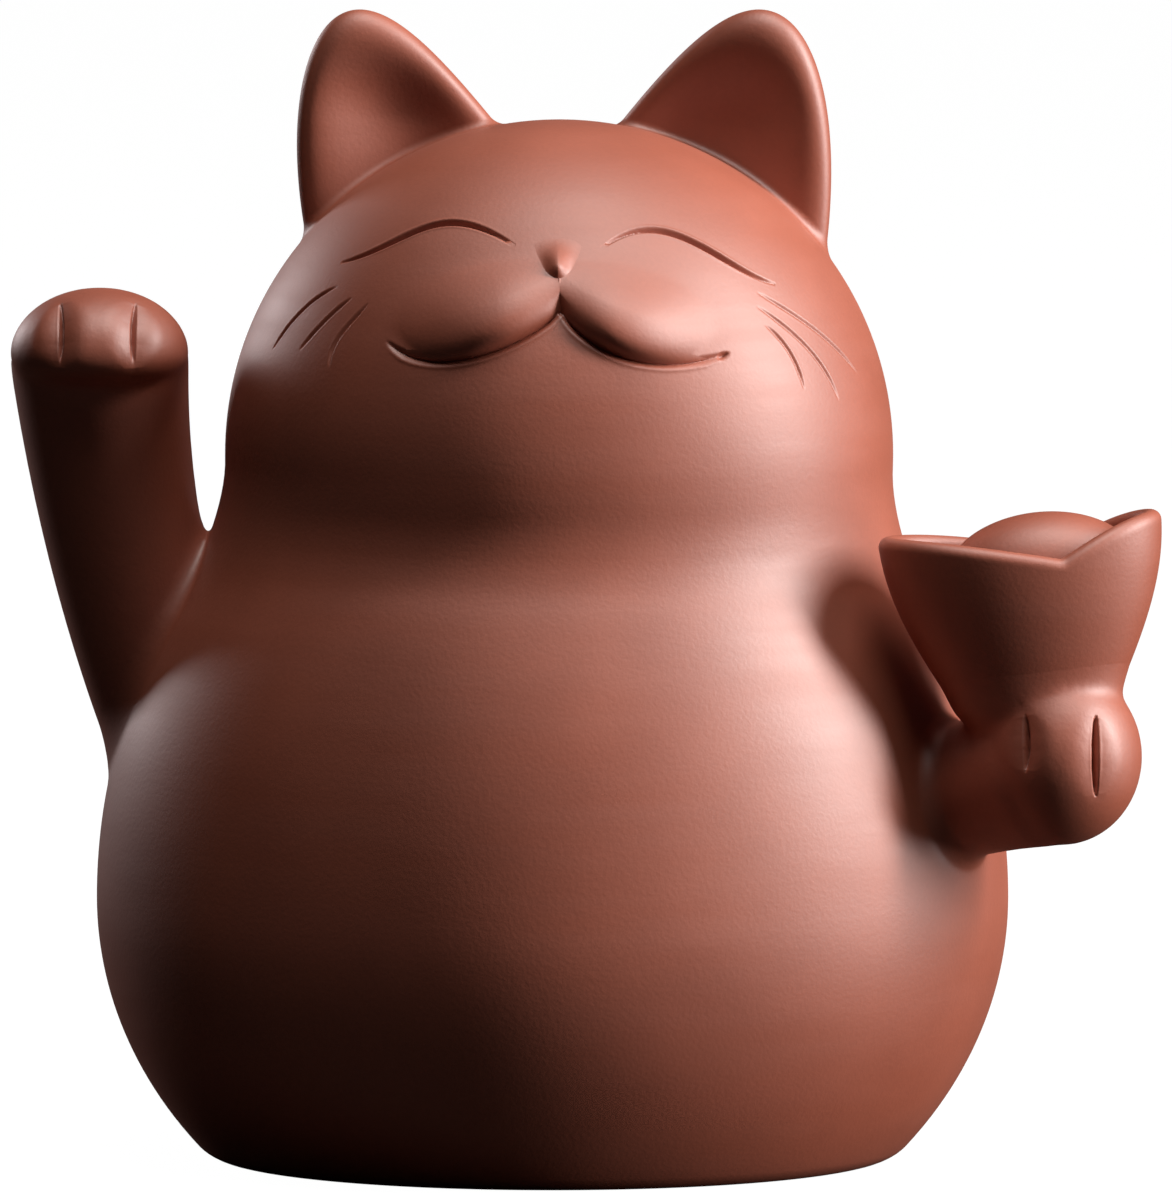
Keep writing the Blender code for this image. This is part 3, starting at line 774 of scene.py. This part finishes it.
def knead(parts, name, rubs):
    bpy.ops.object.select_all(action="DESELECT")
    for part in parts:
        part.select_set(True)
    bpy.context.view_layer.objects.active = parts[0]
    bpy.ops.object.join()
    lump = bpy.context.object
    lump.name = name
    use_modifier(lump, "REMESH", mode="VOXEL", voxel_size=VOXEL)
    use_modifier(lump, "SMOOTH", factor=RUB, iterations=rubs)
    bpy.ops.object.shade_smooth()
    return lump


def press_toes(lump, middle, size, offsets, low, high, half_width, depth, valley):
    """Grooves over the front of a paw, from a low to a high angle, each in a soft valley."""
    lines = []
    for offset in offsets:
        inside = math.sqrt(1 - (2 * offset / size[0]) ** 2)
        lift = np.linspace(math.radians(low), math.radians(high), TOE_STEPS)
        y = middle[1] - size[1] / 2 * inside * np.cos(lift)
        z = middle[2] + size[2] / 2 * inside * np.sin(lift)
        lines.append(np.stack([np.full(TOE_STEPS, middle[0] + offset), y, z], -1))
    cut_finer(lump, nearest_of(lines, face_middles(lump)) < TOE_FINER, FINER_CUTS)
    out = normals_of(lump)
    for line in lines:
        carve(lump, line, half_width, depth, out, burr=TOE_BURR)
        carve(lump, line, VALLEY_HALF_WIDTH, valley, out)


def shoulder(level, turn, depth):
    """Place on the skin, and a place under it at a depth."""
    surface = skin(np.array([level]), np.array([turn]))[0]
    return surface, surface - skin_normal(np.array([level]), np.array([turn]))[0] * depth


print(f"lumps are remeshed with voxels of {VOXEL / MM:.1f} mm")

# %% [markdown]
# ## Beckoning arm
# The raised arm stands up from the right shoulder and bows out a little. Its paw is bent
# forward at the wrist: the ball is squashed from below into a palm, and two grooves part the
# toes.

# %% Beckoning arm
RAISED_SHOULDER = (39.0 * MM, math.radians(-92), 6.0 * MM)
RAISED_WRIST = np.array([-2.1, -3.0, 31.5]) * MM
RAISED_BOW = np.array([-2.6, 0.0, 0.0]) * MM
RAISED_OVERRUN = np.array([0.2, -0.6, 1.6]) * MM
RAISED_RADII = (6.8 * MM, 8.05 * MM)
RAISED_END_CAP = 0.6
RAISED_PAW_SIZE = np.array([16.2, 15.0, 12.4]) * MM
RAISED_PAW_PLACE = np.array([0.3, -3.6, 2.1]) * MM
PALM_SQUASH = 0.5
RAISED_RUBS = 60
RAISED_TOES = {
    "offsets": (-3.4 * MM, 3.4 * MM), "low": -8, "high": 62,
    "half_width": 0.32 * MM, "depth": 1.2 * MM, "valley": 0.55 * MM,
}
RAISED_FILLET = 2.2 * MM

surface, root = shoulder(*RAISED_SHOULDER)
wrist = surface + RAISED_WRIST
bend = (root + wrist) / 2 + RAISED_BOW
roll_end = wrist + RAISED_OVERRUN
raised_roll = roll_of_clay(
    "raised_roll", root, bend, roll_end, *RAISED_RADII, end_cap=RAISED_END_CAP
)
paw_middle = wrist + RAISED_PAW_PLACE
raised_ball = add_ball("raised_ball", RAISED_PAW_SIZE, paw_middle)
points = points_of(raised_ball)
squashed = paw_middle[2] + (points[:, 2] - paw_middle[2]) * PALM_SQUASH
points[:, 2] = np.maximum(points[:, 2], squashed)
press(raised_ball, points)
raised_arm = knead([raised_roll, raised_ball], "beckoning_arm", RAISED_RUBS)
press_toes(raised_arm, paw_middle, RAISED_PAW_SIZE, **RAISED_TOES)
refine_at_skin(raised_arm)
lute(raised_arm, RAISED_FILLET)
print(count(raised_arm))

# %% [markdown]
# ## Ingot
# The ingot is a little boat with a rim that rises to a blunt horn at each end. Its wall is
# wrapped from the keel up the hull, over a rounded rim and down into the bowl. The lowest place
# of the rim is not in the middle, as on a thing cut by hand. The mound in it is a ball of clay,
# pressed in.

# %% Ingot
INGOT_SHOULDER = (33.8 * MM, math.radians(66), 5.0 * MM)
INGOT_PAW_SIZE = np.array([14.4, 14.4, 15.8]) * MM
PALM_PLACE = np.array([8.5, -6.0, 4.2]) * MM
PALM_SINK = 3.3 * MM
BOAT_ASIDE = -2.1 * MM
BOAT_HALF_LENGTH = 12.6 * MM
BOAT_HALF_WIDTH = 7.25 * MM
BOAT_NOTCH_LEVEL = 13.1 * MM
BOAT_NOTCH_PLACE = 0.28
BOAT_HORN = 3.1 * MM
BOAT_RIM = 1.8 * MM
BOAT_DISH = 3.6 * MM
BOAT_KEEL = 0.56
BOAT_ROLL = math.radians(-6)
BOAT_TURN = math.radians(1)
SHORT_BEND = 1.35
LONG_BEND = 1.1
KEEL_ROWS, HULL_ROWS, RIM_ROWS, BOWL_ROWS = 0.12, 0.38, 0.1, 0.4
BOAT_GRID = (180, 140)
MOUND_SIZE = np.array([17.0, 10.8, 10.4]) * MM
MOUND_ASIDE = 1.6 * MM
MOUND_PROUD = 3.9 * MM

carry_surface, carry_root = shoulder(*INGOT_SHOULDER)
palm = carry_surface + PALM_PLACE
boat_seat = palm + np.array([BOAT_ASIDE, 0.0, INGOT_PAW_SIZE[2] / 2 - PALM_SINK])


def tilt_boat(points):
    x = points[:, 0] * math.cos(BOAT_ROLL) + points[:, 2] * math.sin(BOAT_ROLL)
    z = -points[:, 0] * math.sin(BOAT_ROLL) + points[:, 2] * math.cos(BOAT_ROLL)
    y = points[:, 1]
    cosine, sine = math.cos(BOAT_TURN), math.sin(BOAT_TURN)
    return boat_seat + np.stack([x * cosine - y * sine, x * sine + y * cosine, z], -1)


def rim_rise(place):
    """Height of the rim over its notch, for a place along the boat from -1 to 1."""
    short = np.clip((place - BOAT_NOTCH_PLACE) / (1 - BOAT_NOTCH_PLACE), 0.0, 1.0)
    long = np.clip((BOAT_NOTCH_PLACE - place) / (1 + BOAT_NOTCH_PLACE), 0.0, 1.0)
    short_rise = np.sin(SHORT_BEND * short) / math.sin(SHORT_BEND)
    long_rise = np.sin(LONG_BEND * long) / math.sin(LONG_BEND)
    return BOAT_HORN * (short_rise + long_rise)


def hull_share(height):
    lift = np.clip(height / (BOAT_NOTCH_LEVEL + BOAT_HORN), 0.0, 1.0)
    return BOAT_KEEL + (1 - BOAT_KEEL) * np.sin(lift * math.pi / 2)


def place_boat(u, v):
    turn = u * math.tau
    rim = BOAT_NOTCH_LEVEL + rim_rise(np.sin(turn)) - BOAT_RIM / 2
    hull = np.clip((v - KEEL_ROWS) / HULL_ROWS, 0.0, 1.0)
    over = np.clip((v - KEEL_ROWS - HULL_ROWS) / RIM_ROWS, 0.0, 1.0) * math.pi
    bowl = np.clip((v - 1 + BOWL_ROWS) / BOWL_ROWS, 0.0, 1.0) * math.pi / 2
    share = hull_share(rim * hull) * np.clip(v / KEEL_ROWS, 0.0, 1.0)
    inward = BOAT_RIM / 2 * (1 - np.cos(over))
    floor = BOAT_NOTCH_LEVEL - BOAT_DISH
    height = rim * hull + BOAT_RIM / 2 * np.sin(over) + (floor - rim) * np.sin(bowl)
    x = (BOAT_HALF_LENGTH * share - inward) * np.cos(bowl) * np.sin(turn)
    y = -(BOAT_HALF_WIDTH * share - inward) * np.cos(bowl) * np.cos(turn)
    return tilt_boat(np.stack([x, y, height], -1))


boat = wrap_slab("boat", *BOAT_GRID, place_boat)
mound = add_ball("mound", MOUND_SIZE, (0, 0, 0), FINE_BALL_GRID)
mound_middle = np.array([MOUND_ASIDE, 0.0, BOAT_NOTCH_LEVEL + MOUND_PROUD - MOUND_SIZE[2] / 2])
press(mound, tilt_boat(points_of(mound) + mound_middle))
print(count(boat), count(mound))

# %% [markdown]
# ## Carrying arm
# The paw under the ingot is stuck to the hull with slip, which is smoothed up the hull's foot.
# A foot with the form of the lower hull is kneaded together with the roll and the ball, so that
# the waist between ingot and paw is one soft hollow.

# %% Carrying arm
HULL_FOOT_TOP = 5.2 * MM
HULL_FOOT_DEPTH = 3.4 * MM
HULL_FOOT_TAPER = 9.0 * MM
HULL_FOOT_PROUD = 0.5 * MM
HULL_FOOT_UNDER = 0.06 * MM
HULL_FOOT_CAP = 0.2
HULL_FOOT_GRID = (96, 60)
INGOT_WRIST_BACK = 3.0 * MM
INGOT_WRIST_DROP = 0.5 * MM
INGOT_RADII = (5.9 * MM, 6.9 * MM)
INGOT_RUBS = 34
OUTER_TOE = {
    "offsets": (2.9 * MM,), "low": -24, "high": 34,
    "half_width": 0.4 * MM, "depth": 1.8 * MM, "valley": 0.3 * MM,
}
INNER_TOE = {
    "offsets": (-3.4 * MM,), "low": -6, "high": 36,
    "half_width": 0.4 * MM, "depth": 1.0 * MM, "valley": 0.4 * MM,
}
INGOT_FILLET = 2.0 * MM


def place_foot(u, v):
    turn = u * math.tau
    lift = np.clip((v - HULL_FOOT_CAP) / (1 - 2 * HULL_FOOT_CAP), 0.0, 1.0)
    height = -HULL_FOOT_DEPTH + (HULL_FOOT_DEPTH + HULL_FOOT_TOP) * lift
    share = hull_share(height) * (1 + np.minimum(height, 0.0) / HULL_FOOT_TAPER)
    thin = 1 - np.clip(height / HULL_FOOT_TOP, 0.0, 1.0)
    proud = HULL_FOOT_PROUD * thin ** 2 - HULL_FOOT_UNDER
    close = np.clip(np.minimum(v, 1 - v) / HULL_FOOT_CAP, 0.0, 1.0)
    x = (BOAT_HALF_LENGTH * share + proud) * close * np.sin(turn)
    y = -(BOAT_HALF_WIDTH * share + proud) * close * np.cos(turn)
    return tilt_boat(np.stack([x, y, height], -1))


arm_line = palm - carry_root
wrist = palm - arm_line / np.linalg.norm(arm_line) * INGOT_WRIST_BACK
wrist[2] -= INGOT_WRIST_DROP
ingot_roll = roll_of_clay("ingot_roll", carry_root, (carry_root + wrist) / 2, wrist, *INGOT_RADII)
ingot_ball = add_ball("ingot_ball", INGOT_PAW_SIZE, palm)
hull_foot = wrap_slab("hull_foot", *HULL_FOOT_GRID, place_foot)
ingot_arm = knead([ingot_roll, ingot_ball, hull_foot], "carrying_arm", INGOT_RUBS)
for toe in (OUTER_TOE, INNER_TOE):
    press_toes(ingot_arm, palm, INGOT_PAW_SIZE, **toe)
refine_at_skin(ingot_arm)
lute(ingot_arm, INGOT_FILLET)
print(count(ingot_arm))

# %% [markdown]
# ## Bobtail
# The back isn't seen in the picture. Such figures have a short tail there, a flattened ball of
# clay.

# %% Bobtail
TAIL_LEVEL = 13.0 * MM
TAIL_SIZE = np.array([15.0, 10.0, 12.0]) * MM
TAIL_FILLET = 1.6 * MM
tail_middle, _ = shoulder(TAIL_LEVEL, math.pi, 0.0)
tail = add_ball("bobtail", TAIL_SIZE, tail_middle, FINE_BALL_GRID)
refine_at_skin(tail)
lute(tail, TAIL_FILLET)
print(count(tail))

# %% [markdown]
# ## Surface of the clay
# The clay is rubbed with a smooth stone, which leaves a soft sheen, fine level strokes and a
# little of the grain. One node group makes colour, roughness and height from three noise
# textures: broad clouds, fine specks and strokes that are stretched sideways.

# %% Surface of the clay
CLOUDS = {"scale": 70.0, "detail": 4.0}
SPECKS = {"scale": 2600.0, "detail": 2.0}
STROKES = {"scale": 420.0, "detail": 3.0, "stretch": (0.12, 0.12, 1.0)}
CLOUD_TONE, SPECK_TONE = 0.75, 0.25
TONE_LOW, TONE_HIGH = 0.3, 0.7
DULLEST = 0.9
STROKE_ROUGHNESS, CLOUD_ROUGHNESS = 0.12, 0.08
STROKE_HEIGHT = 0.5


def make_clay_group():
    group = bpy.data.node_groups.new("clay surface", "ShaderNodeTree")
    for name, kind in (
        ("Light clay", "NodeSocketColor"),
        ("Dark clay", "NodeSocketColor"),
        ("Sheen", "NodeSocketFloat"),
        ("Grain", "NodeSocketFloat"),
    ):
        group.interface.new_socket(name=name, in_out="INPUT", socket_type=kind)
    for name, kind in (
        ("Colour", "NodeSocketColor"),
        ("Roughness", "NodeSocketFloat"),
        ("Height", "NodeSocketFloat"),
    ):
        group.interface.new_socket(name=name, in_out="OUTPUT", socket_type=kind)
    nodes, links = group.nodes, group.links
    source = nodes.new("NodeGroupInput")
    result = nodes.new("NodeGroupOutput")
    place = nodes.new("ShaderNodeTexCoord")

    def noise(scale, detail, stretch=None):
        texture = nodes.new("ShaderNodeTexNoise")
        texture.inputs["Scale"].default_value = scale
        texture.inputs["Detail"].default_value = detail
        vector = place.outputs["Object"]
        if stretch:
            mapping = nodes.new("ShaderNodeMapping")
            mapping.inputs["Scale"].default_value = stretch
            links.new(vector, mapping.inputs["Vector"])
            vector = mapping.outputs["Vector"]
        links.new(vector, texture.inputs["Vector"])
        return texture.outputs["Fac"]

    def math_node(operation, first, second):
        node = nodes.new("ShaderNodeMath")
        node.operation = operation
        for socket, value in zip(node.inputs, (first, second)):
            if isinstance(value, float):
                socket.default_value = value
            else:
                links.new(value, socket)
        return node.outputs["Value"]

    def weighted(first, first_share, second, second_share):
        first = math_node("MULTIPLY", first, first_share)
        return math_node("ADD", first, math_node("MULTIPLY", second, second_share))

    clouds, specks, strokes = noise(**CLOUDS), noise(**SPECKS), noise(**STROKES)
    ramp = nodes.new("ShaderNodeMapRange")
    ramp.inputs["From Min"].default_value = TONE_LOW
    ramp.inputs["From Max"].default_value = TONE_HIGH
    links.new(weighted(clouds, CLOUD_TONE, specks, SPECK_TONE), ramp.inputs["Value"])
    mix = nodes.new("ShaderNodeMix")
    mix.data_type = "RGBA"
    links.new(ramp.outputs["Result"], mix.inputs["Factor"])
    links.new(source.outputs["Dark clay"], mix.inputs["A"])
    links.new(source.outputs["Light clay"], mix.inputs["B"])
    links.new(mix.outputs["Result"], result.inputs["Colour"])
    rough = weighted(strokes, STROKE_ROUGHNESS, clouds, CLOUD_ROUGHNESS)
    rough = math_node("ADD", rough, DULLEST)
    rough = math_node("SUBTRACT", rough, source.outputs["Sheen"])
    links.new(rough, result.inputs["Roughness"])
    height = weighted(specks, source.outputs["Grain"], strokes, STROKE_HEIGHT)
    links.new(height, result.inputs["Height"])
    return group


clay_group = make_clay_group()
print("nodes in the clay's group:", len(clay_group.nodes))

# %% [markdown]
# ## Burnished and bare clay
# Two materials use the group. The figure is burnished, red-brown and has a soft sheen. The base
# is bare: paler, duller and with more grain.

# %% Burnished and bare clay
BUMP_STRENGTH = 0.5
BUMP_DISTANCE = 0.05 * MM
CLAY_IOR = 1.6
CLAY_SPECULAR = 1.0


def make_clay(name, light, dark, sheen, grain):
    clay = bpy.data.materials.new(name)
    clay.use_nodes = True
    nodes, links = clay.node_tree.nodes, clay.node_tree.links
    shader = nodes["Principled BSDF"]
    surface = nodes.new("ShaderNodeGroup")
    surface.node_tree = clay_group
    surface.inputs["Light clay"].default_value = (*light, 1.0)
    surface.inputs["Dark clay"].default_value = (*dark, 1.0)
    surface.inputs["Sheen"].default_value = sheen
    surface.inputs["Grain"].default_value = grain
    bump = nodes.new("ShaderNodeBump")
    bump.inputs["Strength"].default_value = BUMP_STRENGTH
    bump.inputs["Distance"].default_value = BUMP_DISTANCE
    links.new(surface.outputs["Colour"], shader.inputs["Base Color"])
    links.new(surface.outputs["Roughness"], shader.inputs["Roughness"])
    links.new(surface.outputs["Height"], bump.inputs["Height"])
    links.new(bump.outputs["Normal"], shader.inputs["Normal"])
    shader.inputs["IOR"].default_value = CLAY_IOR
    shader.inputs["Specular IOR Level"].default_value = CLAY_SPECULAR
    return clay


burnished = make_clay(
    "burnished clay", light=(0.375, 0.087, 0.041), dark=(0.292, 0.065, 0.030), sheen=0.46, grain=0.6
)
bare = make_clay(
    "bare clay", light=(0.300, 0.130, 0.088), dark=(0.230, 0.095, 0.064), sheen=0.25, grain=1.2
)
print("materials:", burnished.name, "and", bare.name)

# %% [markdown]
# ## Handing the pieces over
# Each piece takes the clay, rides with the figure, and stands for its nodes in the frame. The
# base disc of the frame stays as it is and takes the bare clay.

# %% Handing the pieces over
made = [
    (belly, ["belly_shell"]),
    (head, ["head_shell"]),
    (right_pad, ["right_muzzle_pad"]),
    (left_pad, ["left_muzzle_pad"]),
    (nose, ["nose"]),
    (right_ear, ["right_ear"]),
    (left_ear, ["left_ear"]),
    (raised_arm, ["raised_arm", "raised_paw"]),
    (ingot_arm, ["ingot_arm", "ingot_paw"]),
    (boat, ["ingot_boat"]),
    (mound, ["ingot_mound"]),
    (tail, ["tail"]),
]
for piece, stands_for in made:
    piece.data.materials.clear()
    piece.data.materials.append(burnished)
    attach(piece, "root")
    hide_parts(*stands_for)
base_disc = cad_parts["base_disc"]
base_disc.data.materials.clear()
base_disc.data.materials.append(bare)
print("pieces handed over:", len(made))

# %% [markdown]
# ## Floor
# The floor is pale and plain. To the camera it is white paper that glows a little, so that it
# has no edge against the background. To the light it is dark, so that it throws little back and
# the shadows on the figure stay deep.

# %% Floor
FLOOR_SIZE = 16.0
FLOOR_SEEN = (0.8, 0.8, 0.8, 1.0)
FLOOR_TO_LIGHT = (0.030, 0.021, 0.018, 1.0)
FLOOR_ROUGHNESS = 0.9
GLOW = 1.08
GLOW_SHARE = 0.92

bpy.ops.object.select_all(action="DESELECT")
bpy.ops.mesh.primitive_plane_add(size=FLOOR_SIZE, location=(0, 0, 0))
floor = bpy.context.object
floor.name = "floor"
paper = bpy.data.materials.new("white paper")
paper.use_nodes = True
nodes, links = paper.node_tree.nodes, paper.node_tree.links
shader = nodes["Principled BSDF"]
shader.inputs["Roughness"].default_value = FLOOR_ROUGHNESS
shader.inputs["Specular IOR Level"].default_value = 0.0
seen = nodes.new("ShaderNodeLightPath")
tone = nodes.new("ShaderNodeMix")
tone.data_type = "RGBA"
tone.inputs["A"].default_value = FLOOR_TO_LIGHT
tone.inputs["B"].default_value = FLOOR_SEEN
links.new(seen.outputs["Is Camera Ray"], tone.inputs["Factor"])
links.new(tone.outputs["Result"], shader.inputs["Base Color"])
glow = nodes.new("ShaderNodeEmission")
glow.inputs["Strength"].default_value = GLOW
share = nodes.new("ShaderNodeMath")
share.operation = "MULTIPLY"
share.inputs[1].default_value = GLOW_SHARE
blend = nodes.new("ShaderNodeMixShader")
links.new(seen.outputs["Is Camera Ray"], share.inputs[0])
links.new(share.outputs["Value"], blend.inputs["Fac"])
links.new(shader.outputs["BSDF"], blend.inputs[1])
links.new(glow.outputs["Emission"], blend.inputs[2])
links.new(blend.outputs["Shader"], nodes["Material Output"].inputs["Surface"])
floor.data.materials.append(paper)
print(f"floor {FLOOR_SIZE:.0f} m wide")

# %% [markdown]
# ## Studio light
# A tall soft lamp stands at the right with a low, weak one beneath it, one hangs above, and one
# stands behind at the left. The background is white to the camera, and gives only a faint
# light.

# %% Studio light
BACKGROUND_LIGHT = 0.012
LAMP_AIM = (0.0, 0.0, 0.05)

world = bpy.data.worlds.new("studio")
bpy.context.scene.world = world
world.use_nodes = True
nodes, links = world.node_tree.nodes, world.node_tree.links
sky = nodes["Background"]
sky.inputs["Color"].default_value = (1.0, 1.0, 1.0, 1.0)
seen = nodes.new("ShaderNodeLightPath")
level = nodes.new("ShaderNodeMapRange")
level.inputs["To Min"].default_value = BACKGROUND_LIGHT
level.inputs["To Max"].default_value = 1.0
links.new(seen.outputs["Is Camera Ray"], level.inputs["Value"])
links.new(level.outputs["Result"], sky.inputs["Strength"])


def add_lamp(name, place, width, height, power, colour):
    """Area lamp at a place in metres, turned to the middle of the figure."""
    bpy.ops.object.light_add(type="AREA", location=place)
    lamp = bpy.context.object
    lamp.name = name
    lamp.data.shape = "RECTANGLE"
    lamp.data.size = width
    lamp.data.size_y = height
    lamp.data.energy = power
    lamp.data.color = colour
    gap = np.array(LAMP_AIM) - np.array(place)
    flat = math.hypot(gap[0], gap[1])
    turn = math.atan2(gap[1], gap[0]) - math.pi / 2
    lamp.rotation_euler = (math.atan2(flat, -gap[2]), 0.0, turn)
    print(f"{name}: {power} W")


add_lamp("key lamp", (0.80, -0.20, 0.48), 0.14, 0.68, 14.0, (1.0, 0.96, 0.94))
add_lamp("side lamp", (0.88, -0.14, 0.07), 0.14, 0.14, 1.8, (1.0, 0.96, 0.95))
add_lamp("top lamp", (0.12, -0.20, 1.00), 0.50, 0.50, 6.3, (1.0, 0.96, 0.92))
add_lamp("left lamp", (-0.64, 0.70, 0.32), 0.25, 0.25, 2.6, (1.0, 0.92, 0.93))

# %% [markdown]
# ## Camera
# The camera is far off with a long lens, a little above the figure, as the picture's is. One
# pixel of the picture stands for a fixed length at the figure, and its middle lies a little to
# the right of the figure's axis.

# %% Camera
VIEW_TILT = math.radians(4.5)
VIEW_DISTANCE = 1.2
PIXEL = 0.09 * MM
PICTURE_HEIGHT = 1200
MIDDLE_ASIDE, MIDDLE_UP = 33.5, 557.0
SENSOR = 36.0

aim = np.array([MIDDLE_ASIDE * PIXEL, 0.0, MIDDLE_UP * PIXEL / math.cos(VIEW_TILT)])
place = aim + VIEW_DISTANCE * np.array([0.0, -math.cos(VIEW_TILT), math.sin(VIEW_TILT)])
bpy.ops.object.camera_add(location=place, rotation=(math.pi / 2 - VIEW_TILT, 0.0, 0.0))
camera = bpy.context.object
camera.data.sensor_width = SENSOR
camera.data.lens = SENSOR * VIEW_DISTANCE / (PICTURE_HEIGHT * PIXEL)
bpy.context.scene.camera = camera
bpy.context.scene.view_settings.view_transform = "Standard"
print(f"lens {camera.data.lens:.0f} mm")
